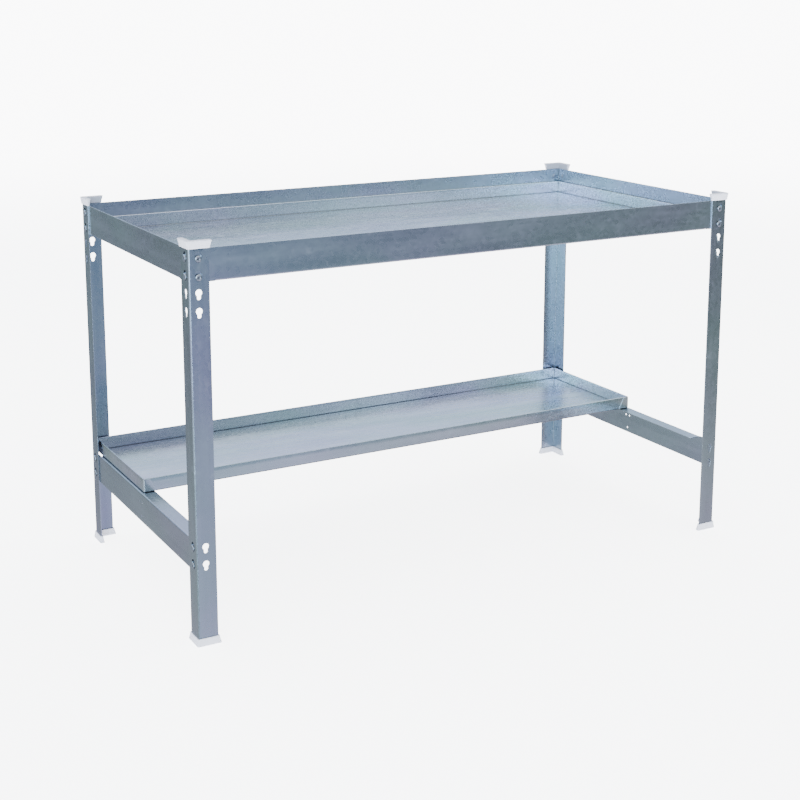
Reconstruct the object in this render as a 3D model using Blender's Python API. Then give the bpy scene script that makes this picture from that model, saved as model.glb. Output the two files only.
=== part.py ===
"""Potting bench: a boltless galvanised steel frame with a full top tray and a half-depth low tray.

Units are metres, +Z is up, the long side runs along X and the front faces -Y. The origin is on the
floor at the centre of the bench. Four equal-angle posts carry keyholes in both flanges; the beams
end inside the post flanges and hook into the keyholes with headed rivets. The top beams carry their
ledge at the bottom, so the top tray drops in between them. The low beams are turned over, ledge up,
and the low tray stands on them against the rear posts.
"""
import math

import bmesh
import bpy
from mathutils import Matrix, Vector

# ---- overall sizes ------------------------------------------------------------------------------
LENGTH = 1.210            # over the outside of the posts, along X
DEPTH = 0.610             # over the outside of the posts, along Y
TOP_EDGE = 0.733          # height of the upper edge of the top beams
LOW_EDGE = 0.197          # height of the ledge of the low beams

# ---- clearance between parts that touch in the real bench ---------------------------------------
GAP = 0.0003

# ---- posts --------------------------------------------------------------------------------------
POST_FLANGE = 0.038       # outside width of each flange
POST_SHEET = 0.0020       # sheet thickness
POST_BEND = 0.0030        # outside radius of the bend
KEYHOLE_INSET = 0.018     # keyhole centre line from the outside of the corner
KEYHOLE_ROUND = 0.014     # diameter of the round part
KEYHOLE_SLOT = 0.008      # width of the slot below it
KEYHOLE_TALL = 0.020      # overall height of a keyhole
KEYHOLE_PITCH = 0.033     # between one keyhole and the next below it
TOP_KEYHOLES = 4          # in each flange below the top end
LOW_KEYHOLES = 2          # in each flange at the low beams

# ---- beams --------------------------------------------------------------------------------------
BEAM_TALL = 0.060         # height of the web
BEAM_SHEET = 0.0015       # sheet thickness
BEAM_LEDGE = 0.028        # outside width of the ledge
BEAM_BEND = 0.0028        # outside radius of the bend
BEAM_END_PLAY = 0.0022    # web end short of the web round the corner
LEDGE_SHORT = 0.012       # ledge end short of the post flange
LEDGE_SNIP = 0.004        # corner snipped off the ledge end
MID_HOLE = 0.0045         # small fixing holes half way along the low beams
MID_HOLE_SPREAD = 0.013   # between the two upper ones
MID_HOLE_DOWN = 0.019     # the upper pair below the ledge
MID_HOLE_UP = 0.011       # the lower one above the other edge

# ---- rivets -------------------------------------------------------------------------------------
RIVETS_PER_END = 2        # hooked into neighbouring keyholes
TOP_RIVET_UP = 0.009      # lower rivet above the bottom edge of a top beam
LOW_RIVET_OFF = 0.0005    # middle of the pair below the middle of a low beam's web
RIVET_DROP = 0.006        # rivet axis below the centre of the round part once hooked in
RIVET_HEAD = 0.0120       # head diameter
RIVET_HEAD_TALL = 0.0018
RIVET_TAIL = 0.0096       # diameter of the upset tail inside the web
RIVET_TAIL_TALL = 0.0010

# ---- trays --------------------------------------------------------------------------------------
TRAY_PLAY = 0.0019        # between the tray and the rivet tails
TRAY_SHEET = 0.0010
TRAY_WALL = 0.028         # outside height of the wall
TRAY_BEND = 0.0020        # outside radius between floor and wall
TRAY_HEM = 0.0070         # depth of the folded rim
LOW_TRAY_DEPTH = 0.303    # front to back
TAB_TOP = 0.014           # corner tab, width at the rim
TAB_FOOT = 0.027          # corner tab, width at the floor
TAB_SHEET = 0.0008

# ---- plastic end caps ---------------------------------------------------------------------------
CAP_TALL = 0.0145
CAP_FLOOR = 0.0030        # thickness over the end of the post
CAP_RIM_WALL = 0.0018     # wall beside the flange at the rim
CAP_SOLE_WALL = 0.0038    # the same at the sole, where the cap flares
CAP_RIM_END = 0.0022      # past the end of the flange at the rim
CAP_SOLE_END = 0.0055     # the same at the sole
CAP_CORNER = 0.0030       # flat across the outside corner

# ---- derived sizes ------------------------------------------------------------------------------
TOTAL_TALL = TOP_EDGE + GAP + CAP_TALL
POST_TALL = TOTAL_TALL - 2.0 * (CAP_FLOOR + GAP)
TOP_BEAM_FOOT = TOP_EDGE - BEAM_TALL
LOW_BEAM_FOOT = LOW_EDGE - BEAM_TALL
RIVET_SHANK = KEYHOLE_SLOT - 2.0 * GAP
BEAM_HOLE = RIVET_SHANK + 2.0 * GAP
TOP_TRAY_FOOT = TOP_BEAM_FOOT + BEAM_SHEET + GAP
LOW_TRAY_FOOT = LOW_EDGE + GAP
WEB_IN = POST_SHEET + GAP                    # outside of the web from the outside of the posts
BEAM_END = WEB_IN + BEAM_SHEET + BEAM_END_PLAY
LEDGE_END = POST_FLANGE + LEDGE_SHORT
TRAY_IN = WEB_IN + BEAM_SHEET + GAP + RIVET_TAIL_TALL + TRAY_PLAY
TOP_RIVETS = [TOP_RIVET_UP + (RIVETS_PER_END - 1 - i) * KEYHOLE_PITCH
              for i in range(RIVETS_PER_END)]
LOW_RIVETS = [BEAM_TALL / 2.0 - LOW_RIVET_OFF + ((RIVETS_PER_END - 1) / 2.0 - i) * KEYHOLE_PITCH
              for i in range(RIVETS_PER_END)]
KEYHOLES = ([TOP_BEAM_FOOT + TOP_RIVETS[0] + RIVET_DROP - i * KEYHOLE_PITCH
             for i in range(TOP_KEYHOLES)]
            + [LOW_BEAM_FOOT + LOW_RIVETS[0] + RIVET_DROP - i * KEYHOLE_PITCH
               for i in range(LOW_KEYHOLES)])   # heights of the round parts
CORNERS = {                # post corner: sign in X, sign in Y, turn about Z
    "front_left": (-1, -1, 0.0),
    "front_right": (1, -1, math.pi / 2.0),
    "back_right": (1, 1, math.pi),
    "back_left": (-1, 1, -math.pi / 2.0),
}


def material(name, colour, metallic, roughness):
    """A plain Principled material."""
    made = bpy.data.materials.new(name)
    made.use_nodes = True
    shader = made.node_tree.nodes["Principled BSDF"]
    shader.inputs["Base Color"].default_value = (*colour, 1.0)
    shader.inputs["Metallic"].default_value = metallic
    shader.inputs["Roughness"].default_value = roughness
    return made


def add_object(name, bm, mat):
    """Turn a finished bmesh into a scene object."""
    bmesh.ops.recalc_face_normals(bm, faces=bm.faces)
    mesh = bpy.data.meshes.new(name)
    bm.to_mesh(mesh)
    bm.free()
    made = bpy.data.objects.new(name, mesh)
    bpy.context.scene.collection.objects.link(made)
    if mat is not None:
        mesh.materials.append(mat)
    return made


def add_prism(bm, outline, low, high, lift):
    """Close the outline between two heights; lift(u, v, h) gives the point in space."""
    bottom = [bm.verts.new(lift(u, v, low)) for u, v in outline]
    top = [bm.verts.new(lift(u, v, high)) for u, v in outline]
    count = len(outline)
    bm.faces.new(bottom)
    bm.faces.new(top)
    for i in range(count):
        j = (i + 1) % count
        bm.faces.new((bottom[i], bottom[j], top[j], top[i]))


def add_loft(bm, rings):
    """Join rings of equal length into one closed skin with flat ends."""
    loops = [[bm.verts.new(p) for p in ring] for ring in rings]
    count = len(loops[0])
    bm.faces.new(loops[0])
    bm.faces.new(loops[-1])
    for here, there in zip(loops, loops[1:]):
        for i in range(count):
            j = (i + 1) % count
            bm.faces.new((here[i], here[j], there[j], there[i]))


def arc(centre, radius, start, stop, steps):
    """Points on an arc in the drawing plane, both ends included."""
    return [(centre[0] + radius * math.cos(start + (stop - start) * i / steps),
             centre[1] + radius * math.sin(start + (stop - start) * i / steps))
            for i in range(steps + 1)]


def angle_section(across, upright, sheet, bend):
    """Equal or unequal angle with its outside corner at the origin and a rounded bend."""
    inner = max(bend - sheet, 0.0004)
    outside = arc((bend, bend), bend, 1.5 * math.pi, math.pi, 3)
    inside = arc((sheet + inner, sheet + inner), inner, math.pi, 1.5 * math.pi, 3)
    return ([(across, 0.0)] + outside + [(0.0, upright), (sheet, upright)] + inside
            + [(across, sheet)])


def keyhole_outline(centre_u, centre_v):
    """A round hole with a narrower slot hanging below it."""
    big = KEYHOLE_ROUND / 2.0
    small = KEYHOLE_SLOT / 2.0
    meet = math.asin(small / big)
    slot_end = centre_v - (KEYHOLE_TALL - big - small)
    upper = arc((centre_u, centre_v), big, -math.pi / 2.0 + meet, 1.5 * math.pi - meet, 14)
    lower = arc((centre_u, slot_end), small, math.pi, 2.0 * math.pi, 6)
    return upper + lower


def cut_with(target, bm):
    """Take the cutter bodies out of the target with one exact Boolean."""
    cutter = add_object(target.name + "_cutter", bm, None)
    cutter.hide_render = True
    cutter.display_type = "WIRE"
    cutter.parent = target
    cut = target.modifiers.new("openings", "BOOLEAN")
    cut.operation = "DIFFERENCE"
    cut.solver = "EXACT"
    cut.object = cutter


def smooth_round(target, limit=40.0):
    """Shade the rounded faces smooth and keep the folds crisp."""
    for face in target.data.polygons:
        face.use_smooth = True
    target.data.set_sharp_from_angle(angle=math.radians(limit))


def corner_place(sign_x, sign_y, turn, height):
    """Matrix that stands a corner part at its post corner."""
    return (Matrix.Translation(Vector((sign_x * LENGTH / 2.0, sign_y * DEPTH / 2.0, height)))
            @ Matrix.Rotation(turn, 4, "Z"))


def place(target, matrix):
    """Give an object its position and turn."""
    target.location = matrix.to_translation()
    target.rotation_euler = matrix.to_euler()


def build_post(name, mat):
    """One angle post with keyholes in both flanges."""
    bm = bmesh.new()
    add_prism(bm, angle_section(POST_FLANGE, POST_FLANGE, POST_SHEET, POST_BEND), 0.0, POST_TALL,
              lambda u, v, h: (u, v, h))
    post = add_object(name, bm, mat)
    holes = bmesh.new()
    foot = CAP_FLOOR + GAP
    for height in KEYHOLES:
        outline = keyhole_outline(KEYHOLE_INSET, height - foot)
        add_prism(holes, outline, -0.004, POST_SHEET + 0.001, lambda u, v, h: (u, h, v))
        add_prism(holes, outline, -0.004, POST_SHEET + 0.001, lambda u, v, h: (h, u, v))
    cut_with(post, holes)
    smooth_round(post)
    return post


def round_outline(centre_u, centre_v, diameter, steps):
    """A closed circle drawn as a polygon."""
    return arc((centre_u, centre_v), diameter / 2.0, 0.0,
               2.0 * math.pi * (steps - 1) / steps, steps - 1)


def build_beam(name, mat, span, ledge_up, rivet_heights, mid_holes):
    """One ledge beam. The web's outside face is on y = 0, the ledge points to +y."""
    half = span / 2.0
    section = angle_section(BEAM_LEDGE, BEAM_TALL, BEAM_SHEET, BEAM_BEND)
    if ledge_up:
        section = [(u, BEAM_TALL - v) for u, v in section]
    bm = bmesh.new()
    add_prism(bm, section, -(half - BEAM_END), half - BEAM_END, lambda u, v, h: (h, u, v))
    beam = add_object(name, bm, mat)
    cuts = bmesh.new()
    ledge_low, ledge_high = (-0.002, BEAM_BEND) if not ledge_up else (
        BEAM_TALL - BEAM_BEND, BEAM_TALL + 0.002)
    for side in (-1, 1):
        ends, past = side * (half - LEDGE_END), side * half
        clear = BEAM_LEDGE + 0.002
        notch = [(ends - side * (LEDGE_SNIP + 0.002), clear), (ends, BEAM_LEDGE - LEDGE_SNIP),
                 (ends, BEAM_SHEET), (past, BEAM_SHEET), (past, clear)]
        add_prism(cuts, notch, ledge_low, ledge_high, lambda u, v, h: (u, v, h))
        for height in rivet_heights:
            hole = round_outline(side * (half - KEYHOLE_INSET), height, BEAM_HOLE, 16)
            add_prism(cuts, hole, -0.002, BEAM_SHEET + 0.001, lambda u, v, h: (u, h, v))
    if mid_holes:
        for along, up in ((-MID_HOLE_SPREAD / 2.0, BEAM_TALL - MID_HOLE_DOWN),
                          (MID_HOLE_SPREAD / 2.0, BEAM_TALL - MID_HOLE_DOWN),
                          (0.0, MID_HOLE_UP)):
            hole = round_outline(along, up, MID_HOLE, 12)
            add_prism(cuts, hole, -0.002, BEAM_SHEET + 0.001, lambda u, v, h: (u, h, v))
    cut_with(beam, cuts)
    smooth_round(beam)
    return beam


def build_rivet(name, mat):
    """A headed rivet on the y axis: head outside the post, tail inside the web."""
    under = -GAP
    inside = POST_SHEET + GAP + BEAM_SHEET + GAP
    head = RIVET_HEAD / 2.0
    tail = RIVET_TAIL / 2.0
    profile = [(head * 0.45, under - RIVET_HEAD_TALL), (head * 0.80, under - RIVET_HEAD_TALL * 0.78),
               (head, under - RIVET_HEAD_TALL * 0.30), (head, under),
               (RIVET_SHANK / 2.0, under), (RIVET_SHANK / 2.0, inside),
               (tail, inside), (tail * 0.85, inside + RIVET_TAIL_TALL)]
    steps = 16
    rings = [[(r * math.cos(2.0 * math.pi * i / steps), y, r * math.sin(2.0 * math.pi * i / steps))
              for i in range(steps)] for r, y in profile]
    bm = bmesh.new()
    add_loft(bm, rings)
    rivet = add_object(name, bm, mat)
    smooth_round(rivet)
    return rivet


def build_tray(name, mat, long, deep):
    """An open tray with a folded rim and tabs lapped over the front and back at each corner."""
    def ring(inset, height):
        x, y = long / 2.0 - inset, deep / 2.0 - inset
        return [(-x, -y, height), (x, -y, height), (x, y, height), (-x, y, height)]

    sheet, bend = TRAY_SHEET, TRAY_BEND
    inner = bend - sheet
    rings = []
    for i in range(4):
        turn = math.pi / 2.0 * i / 3.0
        rings.append(ring(bend - bend * math.sin(turn), bend - bend * math.cos(turn)))
    rings.append(ring(0.0, TRAY_WALL))
    rings.append(ring(2.0 * sheet, TRAY_WALL))
    rings.append(ring(2.0 * sheet, TRAY_WALL - TRAY_HEM))
    rings.append(ring(sheet, TRAY_WALL - TRAY_HEM))
    for i in range(4):
        turn = math.pi / 2.0 * (3 - i) / 3.0
        rings.append(ring(bend - inner * math.sin(turn), bend - inner * math.cos(turn)))
    bm = bmesh.new()
    add_loft(bm, rings)
    tray = add_object(name, bm, mat)

    tabs = bmesh.new()
    for side in (-1, 1):
        for face in (-1, 1):
            edge = side * (long / 2.0 - 0.0004)
            outline = [(edge, bend), (edge - side * TAB_FOOT, bend),
                       (edge - side * TAB_TOP, TRAY_WALL - 0.0015), (edge, TRAY_WALL - 0.0015)]
            base = face * (deep / 2.0 - sheet / 2.0)
            proud = face * (deep / 2.0 + TAB_SHEET)
            add_prism(tabs, outline, base, proud, lambda u, v, h: (u, h, v))
    lap = add_object(name + "_tabs", tabs, None)
    lap.hide_render = True
    lap.display_type = "WIRE"
    lap.parent = tray
    join = tray.modifiers.new("corner_tabs", "BOOLEAN")
    join.operation = "UNION"
    join.solver = "EXACT"
    join.object = lap
    return tray


def cap_outline(wall, end):
    """Outline of an end cap around the post section, the outside corner cut flat."""
    out = -wall
    inn = POST_SHEET + 2.0 * GAP + wall - GAP
    far = POST_FLANGE + end
    flat = CAP_CORNER
    return [(out + flat, out), (far, out), (far, inn), (inn, inn), (inn, far), (out, far),
            (out, out + flat)]


def build_cap(name, mat):
    """A flared plastic cap; its sole is on z = 0 and its pocket takes the post end."""
    slack = GAP
    deep = POST_SHEET + slack
    far = POST_FLANGE + slack
    nose = 0.0012
    pocket = [(-slack + nose, -slack), (far, -slack), (far, deep), (deep, deep), (deep, far),
              (-slack, far), (-slack, -slack + nose)]
    sole = cap_outline(CAP_SOLE_WALL, CAP_SOLE_END)
    rim = cap_outline(CAP_RIM_WALL, CAP_RIM_END)
    waist = [((a + 2.0 * c) / 3.0, (b + 2.0 * d) / 3.0) for (a, b), (c, d) in zip(sole, rim)]
    edge = [(u * 0.985 + 0.0002, v * 0.985 + 0.0002) for u, v in sole]
    bm = bmesh.new()
    add_loft(bm, [[(u, v, 0.0) for u, v in edge], [(u, v, 0.0010) for u, v in sole],
                  [(u, v, CAP_TALL * 0.45) for u, v in waist], [(u, v, CAP_TALL) for u, v in rim],
                  [(u, v, CAP_TALL) for u, v in pocket], [(u, v, CAP_FLOOR) for u, v in pocket]])
    return add_object(name, bm, mat)


for old in list(bpy.data.objects):
    bpy.data.objects.remove(old, do_unlink=True)

FRAME_STEEL = material("galvanised_frame", (0.42, 0.47, 0.52), 0.85, 0.42)
TRAY_STEEL = material("galvanised_tray", (0.56, 0.60, 0.65), 0.85, 0.36)
RIVET_ZINC = material("zinc_rivet", (0.62, 0.65, 0.68), 0.9, 0.35)
WHITE_PLASTIC = material("white_plastic", (0.84, 0.83, 0.86), 0.0, 0.45)

# posts, feet and top caps, one of each at every corner
FLIP = Matrix(((0.0, 1.0, 0.0, 0.0), (1.0, 0.0, 0.0, 0.0), (0.0, 0.0, -1.0, 0.0),
               (0.0, 0.0, 0.0, 1.0)))
for corner, (sign_x, sign_y, turn) in CORNERS.items():
    place(build_post("post_" + corner, FRAME_STEEL),
          corner_place(sign_x, sign_y, turn, CAP_FLOOR + GAP))
    place(build_cap("foot_" + corner, WHITE_PLASTIC), corner_place(sign_x, sign_y, turn, 0.0))
    place(build_cap("cap_" + corner, WHITE_PLASTIC),
          corner_place(sign_x, sign_y, turn, TOTAL_TALL) @ FLIP)

# beams with their rivets
BEAMS = (                  # name, span, distance to the centre, turn, foot, ledge up, rivets
    ("beam_top_front", LENGTH, DEPTH / 2.0, 0.0, TOP_BEAM_FOOT, False, TOP_RIVETS),
    ("beam_top_right", DEPTH, LENGTH / 2.0, math.pi / 2.0, TOP_BEAM_FOOT, False, TOP_RIVETS),
    ("beam_top_back", LENGTH, DEPTH / 2.0, math.pi, TOP_BEAM_FOOT, False, TOP_RIVETS),
    ("beam_top_left", DEPTH, LENGTH / 2.0, -math.pi / 2.0, TOP_BEAM_FOOT, False, TOP_RIVETS),
    ("beam_low_right", DEPTH, LENGTH / 2.0, math.pi / 2.0, LOW_BEAM_FOOT, True, LOW_RIVETS),
    ("beam_low_left", DEPTH, LENGTH / 2.0, -math.pi / 2.0, LOW_BEAM_FOOT, True, LOW_RIVETS),
)
for name, span, away, turn, foot, ledge_up, heights in BEAMS:
    spin = Matrix.Rotation(turn, 4, "Z")
    place(build_beam(name, FRAME_STEEL, span, ledge_up, heights, ledge_up),
          spin @ Matrix.Translation(Vector((0.0, -away + WEB_IN, foot))))
    for side, end in ((-1, "a"), (1, "b")):
        for level, height in enumerate(heights, start=1):
            spot = Vector((side * (span / 2.0 - KEYHOLE_INSET), -away, foot + height))
            place(build_rivet(f"rivet_{name[5:]}_{end}{level}", RIVET_ZINC),
                  spin @ Matrix.Translation(spot))

# trays
TRAY_LONG = LENGTH - 2.0 * TRAY_IN
TOP_TRAY_DEPTH = DEPTH - 2.0 * TRAY_IN
build_tray("tray_top", TRAY_STEEL, TRAY_LONG, TOP_TRAY_DEPTH).location = (0.0, 0.0, TOP_TRAY_FOOT)
build_tray("tray_low", TRAY_STEEL, TRAY_LONG, LOW_TRAY_DEPTH).location = (
    0.0, DEPTH / 2.0 - TRAY_IN - LOW_TRAY_DEPTH / 2.0, LOW_TRAY_FOOT)
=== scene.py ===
"""Potting bench: the finished look of its galvanised frame, two trays, rivets and plastic end caps."""
import math

import bpy
import numpy as np
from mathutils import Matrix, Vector


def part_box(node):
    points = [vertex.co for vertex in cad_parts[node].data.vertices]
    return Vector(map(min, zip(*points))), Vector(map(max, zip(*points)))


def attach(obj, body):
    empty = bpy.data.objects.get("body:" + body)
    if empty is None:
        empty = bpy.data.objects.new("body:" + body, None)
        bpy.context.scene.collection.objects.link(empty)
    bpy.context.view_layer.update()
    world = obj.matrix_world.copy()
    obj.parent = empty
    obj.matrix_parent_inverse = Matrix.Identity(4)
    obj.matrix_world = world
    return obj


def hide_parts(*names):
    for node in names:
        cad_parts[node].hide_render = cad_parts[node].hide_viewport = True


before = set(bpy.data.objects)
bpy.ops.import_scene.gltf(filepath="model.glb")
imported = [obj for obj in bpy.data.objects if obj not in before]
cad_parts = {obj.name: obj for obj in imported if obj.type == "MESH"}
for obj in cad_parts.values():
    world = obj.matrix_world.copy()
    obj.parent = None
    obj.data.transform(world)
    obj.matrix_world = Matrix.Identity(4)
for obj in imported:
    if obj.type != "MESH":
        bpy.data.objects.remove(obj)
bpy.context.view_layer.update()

MM = 0.001
QUARTER = math.pi / 2.0

# ---- sizes read from the frame ------------------------------------------------------------------
POST_LOW, POST_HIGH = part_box("post_front_left")
HALF_LONG = -POST_LOW.x                      # centre to the outside of the posts, along X
HALF_DEEP = -POST_LOW.y                      # the same along Y
POST_FLANGE = POST_HIGH.x - POST_LOW.x
KEYHOLE_INSET = HALF_LONG + sum(p.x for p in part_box("rivet_top_front_a1")) / 2.0
KEYHOLE_PITCH = (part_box("rivet_top_front_a1")[0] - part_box("rivet_top_front_a2")[0]).z

# ---- sizes of the sheet-metal work ----------------------------------------------------------------
POST_SHEET = 2.0 * MM
POST_BEND = 3.0 * MM
BEAM_SHEET = 1.5 * MM
BEAM_BEND = 2.8 * MM
LEDGE_SHORT = 50.0 * MM                      # ledge end from the outside of the posts
LEDGE_SNIP = 4.0 * MM                        # corner snipped off the ledge end
SLIT = 0.5 * MM                              # parts the ledge's fold from the web beyond it
TRAY_SHEET = 0.9 * MM                        # under HEM_ROUND, so the rim's fold keeps an inside
TRAY_BEND = 2.0 * MM
HEM_ROUND = 1.0 * MM                         # outside radius of the folded rim
HEM_DEEP = 7.0 * MM
HEM_MITRE = 5.0 * MM                         # the rim fold's ends slant back by this much
HEM_EASE = 20.0 * MM                         # that slant eases out over this length of rim
TAB_RIM = 14.0 * MM                          # corner tab, width at the rim
TAB_FLOOR = 27.0 * MM                        # corner tab, width at the floor
TAB_SHEET = 0.75 * MM                        # with TAB_OFF, how far a tab stands out
TAB_OFF = 0.05 * MM                          # between a tab and the wall it laps
TAB_LAP = 1.0 * MM                           # straight part of a tab before its bend
TAB_DOWN = 1.2 * MM                          # upper edge of a tab below the rim
WALL_FOOT = 6.0 * MM                         # lowest line of points up a tray's wall, above the bend
WALL_HEAD = 8.0 * MM                         # highest one, below the rim's fold
RIM_START = -11                              # where the rim's fold starts in a tray's wall_lines
FLOOR_STEP = 20.0 * MM                       # between the lines of points across a tray's floor
KEYHOLE_ROUND = 6.3 * MM                     # radius of the round part
KEYHOLE_SLOT = 3.8 * MM                      # half width of the slot
KEYHOLE_DROP = 9.0 * MM                      # slot's round end below the centre of the round part
RIVET_DROP = 6.0 * MM                        # rivet axis below the centre of the round part
MID_HOLE = 2.25 * MM                         # radius of the small holes half way along the low beams
MID_HOLE_APART = 13.0 * MM                   # between the two upper ones
MID_HOLE_DOWN = 19.0 * MM                    # the upper ones below the ledge
MID_HOLE_UP = 11.0 * MM                      # the lower one above the bottom edge
EDGE_BAND = 1.0 * MM                         # width of the worn band along a cut edge
BURR = 0.2 * MM                              # rounding of the cut edges
TRAY_BURR, TAB_BURR = 0.15 * MM, 0.12 * MM   # the same on the thinner sheets
LAYER_STEP = 0.37                            # from one piece's layer of the finish to the next one's
KEYHOLE_CELL = (10.0 * MM, 15.5 * MM)        # half width and half height of the panel round a keyhole


# ---- finishes -------------------------------------------------------------------------------------
class Wire:
    """One output in a network of nodes; arithmetic on it adds Math nodes."""

    def __init__(self, network, socket):
        self.network, self.socket = network, socket

    def sum_up(self, operation, first, second=None):
        return self.network.node("Math", {"operation": operation}, {0: first, 1: second})

    def __add__(self, other):
        return self.sum_up("ADD", self, other)

    def __sub__(self, other):
        return self.sum_up("SUBTRACT", self, other)

    def __rsub__(self, other):
        return self.sum_up("SUBTRACT", other, self)

    def __mul__(self, other):
        return self.sum_up("MULTIPLY", self, other)

    def __pow__(self, other):
        return self.sum_up("POWER", self, other)

    __radd__ = __add__
    __rmul__ = __mul__


class Network:
    """A tree of shader nodes under construction."""

    def __init__(self, tree):
        self.tree = tree

    def node(self, kind, settings=None, inputs=None, out=0, stops=None):
        """Add a node, set it up, feed its sockets and hand back one of its outputs."""
        node = self.tree.nodes.new("ShaderNode" + kind)
        for key, value in (settings or {}).items():
            setattr(node, key, value)
        if stops:
            ramp = node.color_ramp
            while len(ramp.elements) < len(stops):
                ramp.elements.new(0.5)
            for element, (place, shade) in zip(ramp.elements, stops):
                element.position = place
                element.color = (*(shade if isinstance(shade, tuple) else (shade,) * 3), 1.0)
        for socket, value in (inputs or {}).items():
            if value is not None:
                self.feed(node.inputs[socket], value)
        return Wire(self, node.outputs[out])

    def feed(self, socket, value):
        """Link a wire to a socket, or set the socket's own value."""
        if isinstance(value, Wire):
            self.tree.links.new(value.socket, socket)
        else:
            socket.default_value = value

    def blend(self, factor, one, other):
        """Colour between two colours."""
        return self.node("Mix", {"data_type": "RGBA"}, {0: factor, 6: one, 7: other}, out=2)

    def scaled(self, place, stretch):
        """Coordinates stretched along their three axes."""
        return self.node("VectorMath", {"operation": "MULTIPLY"}, {0: place, 1: stretch})

    def noise(self, place, scale, detail=3.0, rough=0.5, warp=0.0):
        """Cloudy value between 0 and 1."""
        return self.node("TexNoise", None, {"Vector": place, "Scale": scale, "Detail": detail,
                                            "Roughness": rough, "Distortion": warp})

    def ramp(self, value, *stops):
        """Reshape a value through a ramp of (place, value) stops."""
        return self.node("ValToRGB", None, {0: value}, stops=stops)


class Finish(Network):
    """A material under construction: its network and its Principled shader."""

    def __init__(self, name, constants):
        self.made = bpy.data.materials.new(name)
        self.made.use_nodes = True
        super().__init__(self.made.node_tree)
        self.shader = self.tree.nodes["Principled BSDF"]
        for socket, value in constants.items():
            self.shader.inputs[socket].default_value = value

    def finish(self, colour, roughness, heights=()):
        """Wire the colour, the roughness and a chain of (height, depth in metres) bumps."""
        self.feed(self.shader.inputs["Base Color"], colour)
        self.feed(self.shader.inputs["Roughness"], roughness)
        normal = None
        for height, depth in heights:
            normal = self.node("Bump", None, {"Height": height, "Distance": depth, "Normal": normal})
        if normal is not None:
            self.feed(self.shader.inputs["Normal"], normal)
        return self.made


ZINC_BLOOM = (0.50, 0.53, 0.56)              # pale spots of weathered zinc
# painted shade, partly dirt: near-black laid along the trays' floor bends and along a post's joint with
# its caps
FOLD_DIRT_AND_SHADE = (0.035, 0.045, 0.055)            # dirt and shade in a fold
WORN_ZINC = (0.50, 0.54, 0.58)               # along a cut edge


def galvanised(name, dark, light, rough, flow=1.0, sway=0.0, dirt_and_shade=0.0):
    """Hot-dip coated strip: cloudy zinc, faint crystals, rolling streaks along the strip, worn edges.

    flow scales the streaks; sway is the depth of the slow waves a wide thin sheet has; the last argument
    sets how far what fold_line marks is darkened towards near-black: dirt and painted shade in the
    trays' bends, painted shade where a post meets its caps."""
    steel = Finish(name, {"Metallic": 1.0})
    strip = steel.node("Attribute", {"attribute_name": "rolled_at"}, out="Vector")
    edge = steel.node("Attribute", {"attribute_name": "cut_edge"}, out="Fac")
    folded = steel.node("Attribute", {"attribute_name": "fold_line"}, out="Fac")
    cloud = steel.noise(steel.scaled(strip, (1.0, 3.0, 1.0)), 4.5, 4.0, 0.55, 0.4)
    sheen = steel.ramp(steel.noise(steel.scaled(strip, (1.0, 2.2, 1.0)), 3.1, 2.0, 0.5, 0.5),
                       (0.34, (0.90, 1.0, 0.93)), (0.50, (0.98, 1.0, 1.0)), (0.66, (1.02, 0.95, 1.04)))
    bands = steel.noise(steel.scaled(strip, (0.5, 26.0, 1.0)), 1.8, 3.0, 0.6)
    lines = steel.noise(steel.scaled(strip, (3.0, 420.0, 1.0)), 1.5, 2.0, 0.7)
    crystal = steel.node("TexVoronoi", {"feature": "F1"},
                         {"Vector": steel.scaled(strip, (0.8, 1.0, 1.0)), "Scale": 150.0}, out="Color")
    flake = steel.node("SeparateColor", None, {0: crystal}, out=0)
    spots = steel.ramp(steel.noise(strip, 38.0, 5.0, 0.65, 0.8), (0.58, 0.0), (0.74, 1.0))
    tone = cloud * 0.70 + bands * 0.40 * flow + lines * 0.06 * flow + flake * 0.03 - 0.10
    zinc = steel.blend(tone, (*dark, 1.0), (*light, 1.0))
    tinted = steel.node("Mix", {"data_type": "RGBA", "blend_type": "MULTIPLY"},
                        {0: 1.0, 6: zinc, 7: sheen}, out=2)
    bloom = steel.blend(spots * 0.10, tinted, (*ZINC_BLOOM, 1.0))
    # painted shade: darkens fold_line towards near-black, for the shade in the trays' bends (with some
    # dirt) and at the posts' joints with their caps
    dirty_and_shaded = steel.blend(folded * dirt_and_shade, bloom, (*FOLD_DIRT_AND_SHADE, 1.0))
    worn = steel.blend(edge * 0.45, dirty_and_shaded, (*WORN_ZINC, 1.0))
    roughness = (cloud * 0.12 + bands * 0.10 + flake * 0.05 + spots * 0.10 - edge * 0.08
                 + (rough - 0.13))
    waves = steel.noise(steel.scaled(strip, (1.0, 1.6, 1.0)), 5.0, 1.0)
    return steel.finish(worn, roughness, ((lines, 0.000012 * flow), (waves, sway)))


def zinc_plate(name):
    """Bright plated rivet, rougher in the hollow of its head, under the head and down the shank, and
    darkened there with painted shade.
    """
    zinc = Finish(name, {"Metallic": 1.0})
    place = zinc.node("TexCoord", out="Object")
    # on a rivet, cut_edge carries the hollow weight rather than an edge: 1 in the head's dimple and in
    # the crease under the head
    edge = zinc.node("Attribute", {"attribute_name": "cut_edge"}, out="Fac")
    cloud = zinc.noise(place, 260.0, 4.0, 0.6)
    nicks = zinc.noise(place, 1500.0, 3.0, 0.7)
    tone = zinc.blend(cloud, (0.24, 0.27, 0.31, 1.0), (0.42, 0.46, 0.52, 1.0))
    # painted shade: near-black blended in where the hollow weight is
    shade_in_hollow = zinc.blend(edge * 0.8, tone, (0.05, 0.06, 0.07, 1.0))
    return zinc.finish(shade_in_hollow, cloud * 0.18 + edge * 0.2 + 0.22, ((nicks, 0.00005),))


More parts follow.
